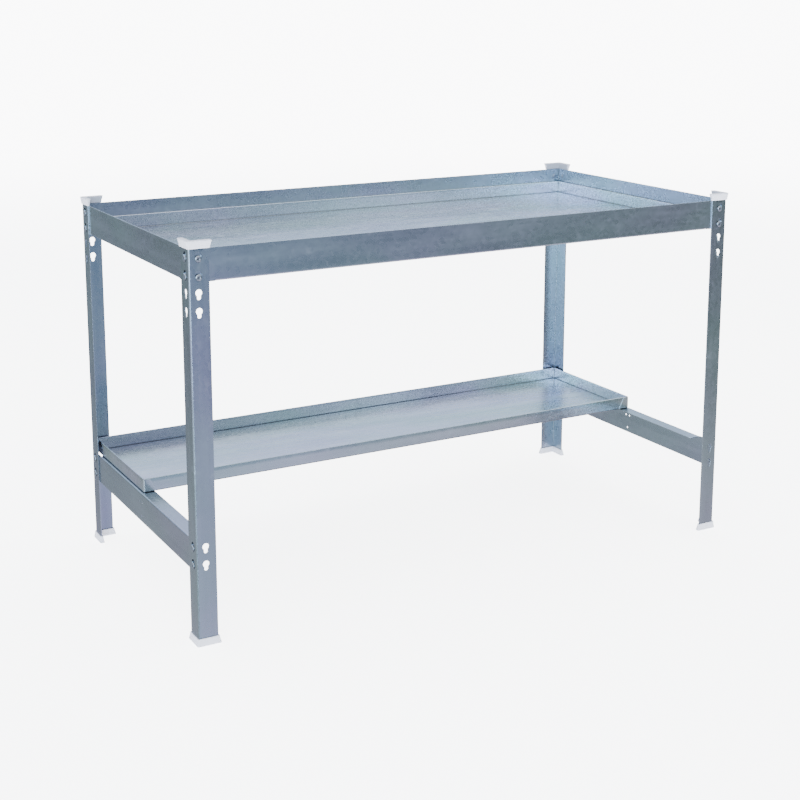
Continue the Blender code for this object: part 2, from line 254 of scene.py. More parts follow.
def moulded(name):
    """Satin white plastic with a faint mottle, fine spark grain and scuffed edges."""
    white = Finish(name, {"Subsurface Weight": 0.08, "Subsurface Radius": (0.004, 0.004, 0.005)})
    place = white.node("TexCoord", out="Object")
    edge = white.node("Attribute", {"attribute_name": "cut_edge"}, out="Fac")
    mottle = white.noise(place, 55.0, 4.0, 0.6)
    grain = white.noise(place, 2600.0, 2.0, 0.6)
    scuff = white.ramp(white.noise(place, 340.0, 4.0, 0.7, 0.6), (0.52, 0.0), (0.66, 1.0))
    tone = white.blend(mottle, (0.43, 0.435, 0.49, 1.0), (0.56, 0.56, 0.62, 1.0))
    marked = white.blend(scuff * edge * 0.35, tone, (0.56, 0.55, 0.57, 1.0))
    return white.finish(marked, mottle * 0.16 + scuff * 0.08 + 0.34, ((grain, 0.00003),))


FRAME_STEEL = galvanised("galvanised_frame_steel", (0.21, 0.24, 0.29), (0.45, 0.50, 0.575), 0.28,
                         dirt_and_shade=0.8)
TRAY_STEEL = galvanised("galvanised_tray_steel", (0.36, 0.40, 0.45), (0.60, 0.65, 0.71), 0.26,
                        1.3, 0.0016, 0.75)
RIVET_ZINC = zinc_plate("plated_rivet")
WHITE_PLASTIC = moulded("white_moulded_plastic")


# ---- meshes from arrays ---------------------------------------------------------------------------
def rotate(points, turn):
    """Points turned about Z: x cos - y sin, x sin + y cos."""
    cos, sin = round(math.cos(turn), 9), round(math.sin(turn), 9)
    x, y, z = points[:, 0], points[:, 1], points[:, 2]
    return np.stack([x * cos - y * sin, x * sin + y * cos, z], axis=1)


def piece(name, points, faces, coat, attributes, body, stands_for):
    """Make an object from arrays of points and faces, coat it and hang it on its body."""
    mesh = bpy.data.meshes.new(name)
    mesh.from_pydata(points.tolist(), [], [f for block in faces for f in block.tolist()])
    mesh.polygons.foreach_set("use_smooth", np.ones(len(mesh.polygons), bool))
    for key, values in attributes.items():
        kind = "FLOAT" if values.ndim == 1 else "FLOAT_VECTOR"
        field = "value" if values.ndim == 1 else "vector"
        layer = mesh.attributes.new(key, kind, "POINT")
        layer.data.foreach_set(field, values.astype(np.float32).ravel())
    mesh.materials.append(coat)
    mesh.update()
    made = bpy.data.objects.new(name, mesh)
    bpy.context.scene.collection.objects.link(made)
    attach(made, body)
    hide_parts(stands_for)
    return made


def thicken(made, sheet, burr=BURR):
    """Give a folded skin its sheet thickness on the inside and break its cut edges."""
    solid = made.modifiers.new("sheet", "SOLIDIFY")
    solid.thickness, solid.offset = sheet, -1.0
    solid.use_even_offset = True
    round_edges(made, burr)


def round_edges(made, width, limit=50.0):
    """Small rounding along the edges, with flat faces kept flat in the shading."""
    bevel = made.modifiers.new("broken_edges", "BEVEL")
    bevel.width, bevel.segments = width, 2
    bevel.limit_method, bevel.angle_limit = "ANGLE", math.radians(limit)
    bevel.harden_normals = True
    bevel.miter_outer = "MITER_SHARP"


def grid_faces(rows, columns, closed=False):
    """Quads of a grid of points stored row by row; closed joins the last column to the first."""
    here = np.arange(rows * columns).reshape(rows, columns)
    if closed:
        here = np.concatenate([here, here[:, :1]], axis=1)
    return np.stack([here[:-1, :-1], here[1:, :-1], here[1:, 1:], here[:-1, 1:]], axis=-1).reshape(-1, 4)


def fold(s, first, bend):
    """Section of a right-angle fold at developed distance s.

    The strip runs straight towards the corner for first minus bend, turns a quarter circle of
    outside radius bend, and runs straight away. Returns the distances from the two outside faces'
    corner: along the first flange, and along the second."""
    straight = first - bend
    turn = np.clip((s - straight) / bend, 0.0, QUARTER)
    along = first - np.minimum(s, straight) - bend * np.sin(turn)
    away = bend * (1.0 - np.cos(turn)) + np.maximum(s - straight - bend * QUARTER, 0.0)
    return along, away


def fold_lines(first, second, bend, extra=(), steps=6):
    """Developed distances at which a folded strip needs a line of points."""
    start = first - bend
    stop = start + bend * QUARTER
    last = stop + second - bend
    ends = [0.0, EDGE_BAND, start - EDGE_BAND, stop + EDGE_BAND, last - EDGE_BAND, last]
    return np.unique(np.round(np.concatenate([ends, np.linspace(start, stop, steps + 1),
                                              np.asarray(extra, float)]), 7))


def keyhole_outline():
    """Round hole with a narrower slot hanging below it, as (across, up) from the round's centre.

    The round part is an arc from one slot wall over the top to the other; the slot ends in a half
    circle."""
    meet = math.asin(KEYHOLE_SLOT / KEYHOLE_ROUND)
    over = np.linspace(meet - QUARTER, 3.0 * QUARTER - meet, 27)
    under = np.linspace(2.0 * QUARTER, 4.0 * QUARTER, 11)
    return np.concatenate([
        np.stack([KEYHOLE_ROUND * np.cos(over), KEYHOLE_ROUND * np.sin(over)], axis=1),
        np.stack([KEYHOLE_SLOT * np.cos(under), KEYHOLE_SLOT * np.sin(under) - KEYHOLE_DROP], axis=1)])


def round_outline(radius, steps=20):
    """Circle as (across, up)."""
    turn = np.arange(steps) * (2.0 * math.pi / steps)
    return radius * np.stack([np.cos(turn), np.sin(turn)], axis=1)


def outset(outline, width):
    """A counter-clockwise outline moved out along its normal, which is its tangent turned back."""
    tangent = np.roll(outline, -1, axis=0) - np.roll(outline, 1, axis=0)
    normal = np.stack([tangent[:, 1], -tangent[:, 0]], axis=1)
    return outline + width * normal / np.linalg.norm(normal, axis=1, keepdims=True)


def stitch(inner, inner_turn, outer, outer_turn):
    """Triangles between two closed loops of point numbers, both sorted by their angle.

    Each inner edge takes the outer point nearest in angle; each outer edge takes the inner point at
    which that nearest point changes."""
    count, around = len(outer), 2.0 * math.pi
    halfway = (outer_turn + np.append(outer_turn[1:], outer_turn[0] + around)) / 2.0
    middle = (inner_turn + np.append(inner_turn[1:], inner_turn[0] + around)) / 2.0
    nearest = np.searchsorted(halfway, middle)
    fans = np.stack([inner, np.roll(inner, -1), outer[nearest % count]], axis=1)
    change = np.searchsorted(nearest, np.arange(count), side="right")
    gaps = np.stack([outer, inner[change % len(inner)], np.roll(outer, -1)], axis=1)
    return np.concatenate([fans[:, ::-1], gaps[:, ::-1]])


def pattern(s_lines, t_lines, keep, holes=()):
    """Flat pattern of a sheet: points (s, t), faces and a cut-edge weight.

    A grid over the s and t lines, of which keep(s, t) says which panels stay. A hole is (s, t,
    outline, half width in s, half height in t): its panels go, and its outline, a ring one band
    outside it and a fan to the panels' border take their place."""
    rows, columns = len(s_lines), len(t_lines)
    s, t = (a.ravel() for a in np.meshgrid(s_lines, t_lines, indexing="ij"))
    number = np.arange(rows * columns).reshape(rows, columns)
    quads = grid_faces(rows, columns)
    centre_s, centre_t = s[quads].mean(1), t[quads].mean(1)
    stays = keep(centre_s, centre_t)
    points, triangles = [np.stack([s, t], axis=1)], []
    total = rows * columns
    for hole_s, hole_t, outline, half_s, half_t in holes:
        stays &= (np.abs(centre_s - hole_s) > half_s) | (np.abs(centre_t - hole_t) > half_t)
        i0, i1 = np.searchsorted(s_lines, [hole_s - half_s - 1e-6, hole_s + half_s - 1e-6])
        j0, j1 = np.searchsorted(t_lines, [hole_t - half_t - 1e-6, hole_t + half_t - 1e-6])
        border = np.concatenate([number[i0:i1, j0], number[i1, j0:j1], number[i1:i0:-1, j1],
                                 number[i0, j1:j0:-1]])
        rings = np.concatenate([outline, outset(outline, EDGE_BAND)])
        count = len(outline)
        inner = total + np.arange(2 * count)
        points.append(rings + (hole_s, hole_t))
        total += 2 * count
        turn = np.arctan2(rings[count:, 1], rings[count:, 0])
        order = np.argsort(turn)
        spot = points[0][border] - (hole_s, hole_t)
        spot_turn = np.arctan2(spot[:, 1], spot[:, 0])
        spot_order = np.argsort(spot_turn)
        triangles.append(stitch(inner[count:][order], turn[order], border[spot_order],
                                spot_turn[spot_order]))
        ring = np.stack([inner[:count], np.roll(inner[:count], -1), np.roll(inner[count:], -1),
                         inner[count:]], axis=1)
        triangles.append(ring[:, ::-1])
    faces = [quads[stays]] + triangles
    return tidy_pattern(np.concatenate(points), faces)


def whole(s, t):
    """Keep every panel of a sheet."""
    return np.ones(len(s), bool)


def tidy_pattern(points, faces):
    """Drop unused points and weigh the border: 1 on an edge that only one face has, else 0."""
    used = np.unique(np.concatenate([f.ravel() for f in faces]))
    new = np.zeros(len(points), int)
    new[used] = np.arange(len(used))
    faces = [new[f] for f in faces]
    edges = np.concatenate([np.stack([f, np.roll(f, -1, axis=1)], axis=-1).reshape(-1, 2)
                            for f in faces])
    once, count = np.unique(np.sort(edges, axis=1), axis=0, return_counts=True)
    weight = np.zeros(len(used))
    weight[once[count == 1].ravel()] = 1.0
    return points[used], faces, weight


def near_fold(s, first, bend):
    """Weight of a fold at developed distance s: 1 on its quarter circle, fading over one band."""
    start = first - bend
    stop = start + bend * QUARTER
    return np.clip(1.0 - np.maximum(start - s, s - stop) / EDGE_BAND, 0.0, 1.0)


def rolled(t, s, number):
    """Place on the strip for the finish: along, across, and a different layer for each piece."""
    return np.stack([t, s, np.full(len(t), LAYER_STEP * number)], axis=1)


def wound(faces, flip):
    """Faces with their winding reversed where flip is set."""
    return [f[:, ::-1] for f in faces] if flip else faces


# ---- posts ----------------------------------------------------------------------------------------
CORNERS = {                                  # sign in X, sign in Y, turn about Z
    "front_left": (-1, -1, 0.0), "front_right": (1, -1, QUARTER),
    "back_right": (1, 1, 2.0 * QUARTER), "back_left": (-1, 1, -QUARTER)}


def keyhole_heights():
    """Round centres of the keyholes in a flange, four at the top and two at the low beam."""
    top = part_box("rivet_top_front_a1")
    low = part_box("rivet_low_left_a1")
    first = (top[0].z + top[1].z) / 2.0 + RIVET_DROP
    below = (low[0].z + low[1].z) / 2.0 + RIVET_DROP
    return np.concatenate([first - KEYHOLE_PITCH * np.arange(4), below - KEYHOLE_PITCH * np.arange(2)])


def make_post(corner, number):
    """Equal angle: the flat pattern with twelve keyholes, folded once along its length."""
    sign_x, sign_y, turn = CORNERS[corner]
    low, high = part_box("post_" + corner)
    heights = keyhole_heights()
    half_s, half_t = KEYHOLE_CELL
    strip = 2.0 * (POST_FLANGE - POST_BEND) + POST_BEND * QUARTER
    centres = (POST_FLANGE - KEYHOLE_INSET, strip - POST_FLANGE + KEYHOLE_INSET)
    extra = [c + d for c in centres for d in (-half_s, half_s)]
    s_lines = fold_lines(POST_FLANGE, POST_FLANGE, POST_BEND, extra)
    shut = (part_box("foot_" + corner)[1].z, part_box("cap_" + corner)[0].z)
    t_lines = np.unique(np.round(np.concatenate([
        [low.z, low.z + EDGE_BAND, shut[0], shut[0] + EDGE_BAND, shut[1] - EDGE_BAND, shut[1],
         high.z - EDGE_BAND, high.z], heights - half_t, heights + half_t]), 7))
    holes = [(c, h, keyhole_outline(), half_s, half_t) for c in centres for h in heights]
    points, faces, edge = pattern(s_lines, t_lines, whole, holes)
    s, t = points.T
    along, away = fold(s, POST_FLANGE, POST_BEND)
    placed = rotate(np.stack([along, away, t], axis=1), turn)
    placed = placed + (sign_x * HALF_LONG, sign_y * HALF_DEEP, 0.0)
    # painted shade: this weight is 1 inside the caps and gives a 1 mm dark line just outside them, where
    # the post meets its caps
    covered = np.clip(np.maximum(shut[0] - t, t - shut[1]) / EDGE_BAND + 1.0, 0.0, 1.0)
    made = piece("angle_post_" + corner, placed, wound(faces, True), FRAME_STEEL,
                 {"rolled_at": rolled(t, s, number), "cut_edge": edge, "fold_line": covered},
                 "frame", "post_" + corner)
    thicken(made, POST_SHEET)


# ---- beams ----------------------------------------------------------------------------------------
BEAMS = (                                    # name, turn about Z, ledge on the upper edge
    ("top_front", 0.0, False), ("top_right", QUARTER, False), ("top_back", 2.0 * QUARTER, False),
    ("top_left", -QUARTER, False), ("low_right", QUARTER, True), ("low_left", -QUARTER, True))


def make_beam(name, turn, ledge_up, number):
    """Ledge beam: a web and a ledge folded from one strip, the ledge short of the posts and snipped."""
    low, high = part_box("beam_" + name)
    size = high - low
    along_x = size.x > size.y
    web, ledge, end = size.z, min(size.x, size.y), max(size.x, size.y) / 2.0
    away = max(abs(low.y), abs(high.y)) if along_x else max(abs(low.x), abs(high.x))
    ledge_end = (HALF_LONG if along_x else HALF_DEEP) - LEDGE_SHORT
    strip = web + ledge - 2.0 * BEAM_BEND + BEAM_BEND * QUARTER
    flat_end = web - BEAM_BEND
    marks = [0.0, 0.5 * ledge_end, ledge_end - 2.0 * LEDGE_SNIP, ledge_end - EDGE_BAND - LEDGE_SNIP,
             ledge_end, ledge_end + SLIT, ledge_end + SLIT + EDGE_BAND, end - EDGE_BAND, end]
    across = [flat_end - EDGE_BAND, strip - LEDGE_SNIP]
    holes = []
    if ledge_up:
        cell = MID_HOLE_APART / 2.0
        marks += [cell, 2.0 * cell]
        holes = [(web - drop, along, round_outline(MID_HOLE), cell, cell) for drop, along in
                 ((MID_HOLE_DOWN, -cell), (MID_HOLE_DOWN, cell), (web - MID_HOLE_UP, 0.0))]
        across += [hole[0] + d for hole in holes for d in (-cell, cell)]
    s_lines = fold_lines(web, ledge, BEAM_BEND, across)
    t_lines = np.unique(np.round(np.concatenate([marks, np.negative(marks)]), 7))
    bend_end = flat_end + BEAM_BEND * QUARTER
    points, faces, edge = pattern(
        s_lines, t_lines, lambda s, t: ((s < flat_end) | (np.abs(t) < ledge_end)
                                        | ((s < bend_end) & (np.abs(t) > ledge_end + SLIT))), holes)
    s, t = points.T
    snip = np.where(np.abs(t) > ledge_end - 1e-6, np.maximum(s - (strip - LEDGE_SNIP), 0.0), 0.0)
    t = t - np.sign(t) * snip
    up, inward = fold(s, web, BEAM_BEND)
    beyond = (np.abs(t) > ledge_end + 0.5 * SLIT) & (s > flat_end)
    up = np.where(beyond, BEAM_BEND - (s - flat_end) / QUARTER, up)
    inward = np.where(beyond, 0.0, inward)
    height = high.z - up if ledge_up else low.z + up
    placed = rotate(np.stack([t, inward - away, height], axis=1), turn)
    made = piece("ledge_beam_" + name, placed, wound(faces, ledge_up), FRAME_STEEL,
                 {"rolled_at": rolled(t, s, number), "cut_edge": edge}, "frame",
                 "beam_" + name)
    thicken(made, BEAM_SHEET)


# ---- rivets ---------------------------------------------------------------------------------------
def make_rivet(name):
    """Turned about its axis: a domed head with a shallow hollow, a shank and an upset tail."""
    low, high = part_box(name)
    beam = name.removeprefix("rivet_").rsplit("_", 1)[0]
    turn = dict((b[0], b[1]) for b in BEAMS)[beam]
    size = high - low
    deep = min(size.x, size.y)
    radius = size.z / 2.0
    steps = 32
    #                   radius, depth from the outside of the head, hollow (weight of the painted shade)
    profile = np.array([
        (0.0, 0.75, 1.0), (1.6, 0.70, 1.0), (2.3, 0.45, 0.6), (2.9, 0.10, 0.0), (3.6, 0.0, 0.0),
        (4.4, 0.12, 0.0), (5.2, 0.48, 0.0), (5.8, 1.05, 0.0), (6.0, 1.5, 0.0), (5.9, 1.75, 0.4),
        (5.6, 1.8, 1.0), (3.75, 1.8, 1.0), (3.7, 1.85, 1.0), (3.7, deep / MM - 1.05, 0.5),
        (3.75, deep / MM - 1.0, 0.3), (4.6, deep / MM - 1.0, 0.0), (4.8, deep / MM - 0.8, 0.0),
        (4.6, deep / MM - 0.3, 0.0), (4.0, deep / MM, 0.0), (1.2, deep / MM - 0.1, 0.0),
        (0.0, deep / MM - 0.1, 0.0)])
    wheel = np.arange(steps) * (2.0 * math.pi / steps)
    ring = profile[1:-1]
    r = ring[:, 0, None] * (radius / profile[:, 0].max())
    y = np.repeat(ring[:, 1, None] * MM, steps, axis=1)
    points = np.stack([r * np.cos(wheel), y, r * np.sin(wheel)], axis=-1).reshape(-1, 3)
    points = np.concatenate([points, [(0.0, profile[0, 1] * MM, 0.0),
                                      (0.0, profile[-1, 1] * MM, 0.0)]])
    quads = grid_faces(len(ring), steps, closed=True)
    first, last = len(points) - 2, len(points) - 1
    rim = np.arange(steps)
    start = np.stack([np.full(steps, first), rim, np.roll(rim, -1)], axis=1)
    tail = rim + (len(ring) - 1) * steps
    stop = np.stack([np.full(steps, last), np.roll(tail, -1), tail], axis=1)
    hollow = np.concatenate([np.repeat(ring[:, 2], steps), [profile[0, 2], profile[-1, 2]]])
    middle = (low + high) / 2.0
    outward = rotate(np.array([[0.0, -deep / 2.0, 0.0]]), turn)[0]
    placed = rotate(points, turn) + np.array(middle) + outward
    piece(name + "_turned", placed, [quads, start, stop], RIVET_ZINC, {"cut_edge": hollow}, "frame",
          name)


# ---- trays ----------------------------------------------------------------------------------------
def wall_lines(half, wall):
    """Developed distances from a tray's centre over a bend, up the wall and over the folded rim."""
    turn = np.linspace(0.0, TRAY_BEND * QUARTER, 7)
    bend = np.append(half - TRAY_BEND - EDGE_BAND, half - TRAY_BEND + turn)
    top = bend[-1] + wall - TRAY_BEND - HEM_ROUND
    rim = top + np.linspace(0.0, HEM_ROUND * 2.0 * QUARTER, 9)
    end = rim[-1] + HEM_DEEP - HEM_ROUND
    return np.concatenate([bend, [bend[-1] + EDGE_BAND, bend[-1] + WALL_FOOT, top - WALL_HEAD], rim,
                           [end - EDGE_BAND, end]])


def wall_fold(d, half, wall):
    """Place of a tray's section at developed distance d from its centre, as (out, up).

    Flat floor, a quarter circle up, the wall, half a circle inwards over the rim, and down again."""
    size, side = np.abs(d), np.sign(d)
    floor = half - TRAY_BEND
    turn = np.clip((size - floor) / TRAY_BEND, 0.0, QUARTER)
    rise = size - floor - TRAY_BEND * QUARTER
    straight = wall - TRAY_BEND - HEM_ROUND
    over = np.clip((rise - straight) / HEM_ROUND, 0.0, 2.0 * QUARTER)
    down = np.maximum(rise - straight - HEM_ROUND * 2.0 * QUARTER, 0.0)
    out = (np.minimum(size, floor) + TRAY_BEND * np.sin(turn) - HEM_ROUND * (1.0 - np.cos(over)))
    up = (TRAY_BEND * (1.0 - np.cos(turn)) + np.clip(rise, 0.0, straight) + HEM_ROUND * np.sin(over)
          - down)
    return side * out, up


DENT_DEPTH = 0.0006                          # share of a wave's length that becomes height
DENT_FADE = 0.06                             # waves die out over this distance from a wall


def dents(x, y, half_x, half_y, seed):
    """Slow waves of a thin floor, still at its walls: a sum of seeded sine waves times an edge fade."""
    dice = np.random.default_rng(seed)
    total = np.zeros_like(x)
    for _ in range(9):
        reach = dice.uniform(0.16, 0.5)
        heading = dice.uniform(0, math.pi)
        phase = dice.uniform(0, 6.28)
        along = x * math.cos(heading) + y * math.sin(heading)
        total += np.sin(along * 2.0 * math.pi / reach + phase) * reach
    fade_x = np.clip((half_x - np.abs(x)) / DENT_FADE, 0.0, 1.0)
    fade_y = np.clip((half_y - np.abs(y)) / DENT_FADE, 0.0, 1.0)
    fade = fade_x * fade_y
    return DENT_DEPTH * total * fade * fade * (3.0 - 2.0 * fade)


def make_tray(name, body, number):
    """Tray folded from one cross-shaped sheet, with rolled rims and lapped corner tabs."""
    low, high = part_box(name)
    centre = (low + high) / 2.0
    half_x = (high.x - low.x) / 2.0
    half_y = (high.y - low.y) / 2.0 - (TAB_SHEET + TAB_OFF)
    wall = high.z - low.z
    side_x, side_y = wall_lines(half_x, wall), wall_lines(half_y, wall)
    flat_x = np.arange(1, int(side_x[0] / FLOOR_STEP)) * FLOOR_STEP
    flat_y = np.arange(1, int(side_y[0] / FLOOR_STEP)) * FLOOR_STEP
    u_lines = np.concatenate([-side_x[::-1], -flat_x[::-1], [0.0], flat_x, side_x])
    v_lines = np.concatenate([-side_y[::-1], -flat_y[::-1], [0.0], flat_y, side_y])
    points, faces, edge = pattern(
        u_lines, v_lines, lambda u, v: (np.abs(u) < side_x[1]) | (np.abs(v) < side_y[1]))
    u, v = points.T
    hem_x, hem_y = side_x[RIM_START], side_y[RIM_START]
    ease_u = np.clip(1.0 - (side_x[1] - np.abs(u)) / HEM_EASE, 0.0, 1.0)
    ease_v = np.clip(1.0 - (side_y[1] - np.abs(v)) / HEM_EASE, 0.0, 1.0)
    cut_u = ease_u * np.maximum(np.abs(v) - hem_y, 0.0)
    cut_v = ease_v * np.maximum(np.abs(u) - hem_x, 0.0)
    mitre = HEM_MITRE / (side_x[-1] - hem_x)
    x, rise_x = wall_fold(u, half_x, wall)
    y, rise_y = wall_fold(v, half_y, wall)
    x = x - np.sign(x) * cut_u * mitre
    y = y - np.sign(y) * cut_v * mitre
    z = np.maximum(rise_x, rise_y)
    z = z + np.where(z < 1e-6, dents(x, y, side_x[0], side_y[0], number), 0.0)
    placed = np.stack([x, y, z], axis=1) + (centre.x, centre.y, low.z)
    # fold_line here: dirt and painted shade along the bend between the floor and the walls
    made = piece(name + "_folded", placed, wound(faces, True), TRAY_STEEL,
                 {"rolled_at": rolled(u, v, number), "cut_edge": edge,
                  "fold_line": np.maximum(near_fold(np.abs(u), half_x, TRAY_BEND),
                                          near_fold(np.abs(v), half_y, TRAY_BEND))},
                 body, name)
    thicken(made, TRAY_SHEET, TRAY_BURR)
    for side, end in ((-1, "left"), (1, "right")):
        for face, front in ((-1, "front"), (1, "back")):
            make_tab(f"{name}_tab_{front}_{end}", name, side, face, centre, half_x, half_y, wall, low.z,
                     body, number)


def make_tab(label, name, side, face, centre, half_x, half_y, wall, foot, body, number):
    """Corner tab: from the end wall round the corner and flat over the long wall, its end slanted."""
    bend = TRAY_BEND + TAB_SHEET + TAB_OFF
    top = wall - TAB_DOWN
    height = np.array([TRAY_BEND, TRAY_BEND + EDGE_BAND, wall / 2.0, top - EDGE_BAND, top])
    straight = bend + TAB_LAP
    across = np.concatenate([[0.0, 0.8 * TAB_LAP], TAB_LAP + np.linspace(0.0, bend * QUARTER, 7)])
    part = np.array([0.3, 0.9, 1.0])
    share = (height - height[0]) / (height[-1] - height[0])
    reach = TAB_FLOOR + (TAB_RIM - TAB_FLOOR) * share
    s = np.concatenate([np.repeat(across[:, None], len(height), axis=1),
                        across[-1] + part[:, None] * (reach - bend)[None, :]])
    h = np.repeat(height[None, :], len(s), axis=0)
    rows, columns = s.shape
    along, away = fold(s.ravel(), straight, bend)
    x = side * (half_x + TAB_OFF - away)
    y = face * (half_y + TAB_SHEET + TAB_OFF - along)
    faces = grid_faces(rows, columns)
    points, faces, edge = tidy_pattern(np.stack([x, y, h.ravel()], axis=1), [faces])
    placed = points + (centre.x, centre.y, foot)
    made = piece(label, placed, wound(faces, side * face < 0), TRAY_STEEL,
                 {"rolled_at": rolled(s.ravel(), h.ravel(), number + 0.5), "cut_edge": edge}, body,
                 name)
    thicken(made, TAB_SHEET, TAB_BURR)


# ---- end caps -------------------------------------------------------------------------------------
CAP_FLOOR = 3.0 * MM
CAP_RIM_WALL, CAP_SOLE_WALL = 1.8 * MM, 3.8 * MM
CAP_RIM_END, CAP_SOLE_END = 2.2 * MM, 5.5 * MM
CAP_SLACK = 0.3 * MM
CAP_SOFT = 0.9 * MM                          # radius round the sole's edge
CAP_LIP = 0.4 * MM                           # chamfer outside the rim
CAP_LEAD = 0.2 * MM                          # the same inside it
CAP_BAND = 1.0 * MM                          # straight band below the rim
CAP_CURVE = 0.8                              # power of the flare: 1 is a plain slope


def cap_ring(wall, past, radius, steps=5):
    """Outline of an L round the post section: walls this thick, ends this far past, corners rounded.

    Each corner is an arc of the given radius, tangent to both of its sides."""
    out, inn = -wall, POST_SHEET + CAP_SLACK + wall
    far = POST_FLANGE + past
    corners = np.array([(far, out), (far, inn), (inn, inn), (inn, far), (out, far), (out, out)])
    radii = np.minimum(np.array([1.0, 1.0, 0.8, 1.0, 1.0, 1.6]) * radius, (inn - out) * 0.45)
    before = np.roll(corners, 1, axis=0) - corners
    after = np.roll(corners, -1, axis=0) - corners
    before /= np.linalg.norm(before, axis=1, keepdims=True)
    after /= np.linalg.norm(after, axis=1, keepdims=True)
    turn = np.linspace(0.0, QUARTER, steps)[None, :, None]
    centre = corners + radii[:, None] * (before + after)
    ring = (centre[:, None, :] - radii[:, None, None]
            * (after[:, None, :] * np.cos(turn) + before[:, None, :] * np.sin(turn)))
    return ring.reshape(-1, 2)


def make_cap(name, corner, flipped):
    """Flared cap: L-shaped rings from the pocket over the rim and down the flare to the sole."""
    sign_x, sign_y, turn = CORNERS[corner]
    low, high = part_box(name)
    tall = high.z - low.z
    flare = np.linspace(0.0, 1.0, 7)
    wall = CAP_SOLE_WALL + (CAP_RIM_WALL - CAP_SOLE_WALL) * flare ** CAP_CURVE
    past = CAP_SOLE_END + (CAP_RIM_END - CAP_SOLE_END) * flare ** CAP_CURVE
    turned = np.linspace(QUARTER, 0.0, 5)
    #        wall, end past the post, height, corner radius in mm, wear
    rings = [(0.0, 0.0, CAP_FLOOR, 0.5, 0.0), (0.0, 0.0, tall - CAP_LIP, 0.5, 0.0),
             (CAP_LEAD, CAP_LEAD, tall, 0.6, 1.0),
             (CAP_RIM_WALL - CAP_LIP, CAP_RIM_END - CAP_LIP, tall, 1.2, 1.0),
             (CAP_RIM_WALL, CAP_RIM_END, tall - CAP_LIP, 1.6, 1.0)]
    for w, p, k in zip(wall[-2:0:-1], past[-2:0:-1], flare[-2:0:-1]):
        rings.append((w, p, 2.0 * CAP_SOFT + k * (tall - 2.0 * CAP_SOFT - CAP_BAND), 2.0, 0.0))
    for a in turned:
        drawn_in = CAP_SOFT * (1.0 - math.sin(a))
        rings.append((CAP_SOLE_WALL - drawn_in, CAP_SOLE_END - drawn_in,
                      CAP_SOFT * (1.0 - math.cos(a)), 2.4, 1.0))
    outline = [cap_ring(w, p, r * MM) for w, p, _, r, _ in rings]
    count = len(outline[0])
    points = np.concatenate([np.column_stack([o, np.full(count, ring[2])])
                             for o, ring in zip(outline, rings)])
    edge = np.repeat([ring[4] for ring in rings], count)
    quads = grid_faces(len(rings), count, closed=True)
    pocket = np.arange(count)[None, :]
    sole = (len(rings) * count - 1 - np.arange(count))[None, :]
    if flipped:
        points = np.stack([points[:, 1], points[:, 0], high.z - points[:, 2]], axis=1)
    placed = rotate(points, turn) + (sign_x * HALF_LONG, sign_y * HALF_DEEP, 0.0)
    piece(name + "_moulded", placed, [quads, pocket, sole], WHITE_PLASTIC, {"cut_edge": edge},
          "frame", name)


for index, key in enumerate(CORNERS):
    make_post(key, index)
    make_cap("foot_" + key, key, False)
    make_cap("cap_" + key, key, True)
for index, (key, heading, raised) in enumerate(BEAMS):
    make_beam(key, heading, raised, index + 5)
for key in sorted(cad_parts):
    if key.startswith("rivet_"):
        make_rivet(key)
make_tray("tray_top", "top_tray", 12)
make_tray("tray_low", "low_tray", 13)


# ---- floor, light and camera ----------------------------------------------------------------------
FLOOR_FADE, FLOOR_REACH = 3.0, 8.0           # the floor starts to fade, and ends, this far out
BACKDROP = (10.0, 10.0, 10.2)                # what the eye sees beyond the floor
#          round the studio from left to right (place, colour): far floor, near floor, front wall
SHOP_FLOOR = (
    (0.12, (1.30, 1.45, 1.65)), (0.22, (0.32, 0.36, 0.32)), (0.33, (0.31, 0.36, 0.31)),
    (0.40, (0.37, 0.44, 0.62)), (0.62, (0.45, 0.61, 0.96)), (0.72, (0.37, 0.46, 0.56)),
    (0.81, (0.27, 0.33, 0.275)))
NEAR_FLOOR = ((0.34, (0.62, 0.64, 0.68)), (0.62, (1.35, 1.32, 1.80)), (0.80, (1.65, 1.50, 1.65)))
SHOP_FRONT = (
    (0.20, (0.50, 0.60, 0.70)), (0.50, (0.38, 0.46, 0.52)), (0.65, (0.26, 0.34, 0.42)),
    (0.74, (0.30, 0.44, 0.62)), (0.85, (0.26, 0.33, 0.36)))
SHOP_BACK = (0.88, 1.14, 1.54)
BEHIND_EYE = (-0.56, -0.82, 0.04)            # towards the bright doorway on the viewer's side
DOORWAY = (8.0, 10.6, 13.0)
CEILING = (2.6, 2.7, 2.85)
#          each pair: where one part of the studio starts to give way to the next, and where it has
NEAR_TO_FAR = (-0.43, -0.25)
FRONT_TO_BACK = (-0.25, 0.35)
FLOOR_TO_WALL = (-0.03, 0.10)
WALL_TO_CEILING = (0.25, 0.75)
DOORWAY_EDGE = (0.90, 0.97)
DOORWAY_SILL = (-0.23, -0.13)


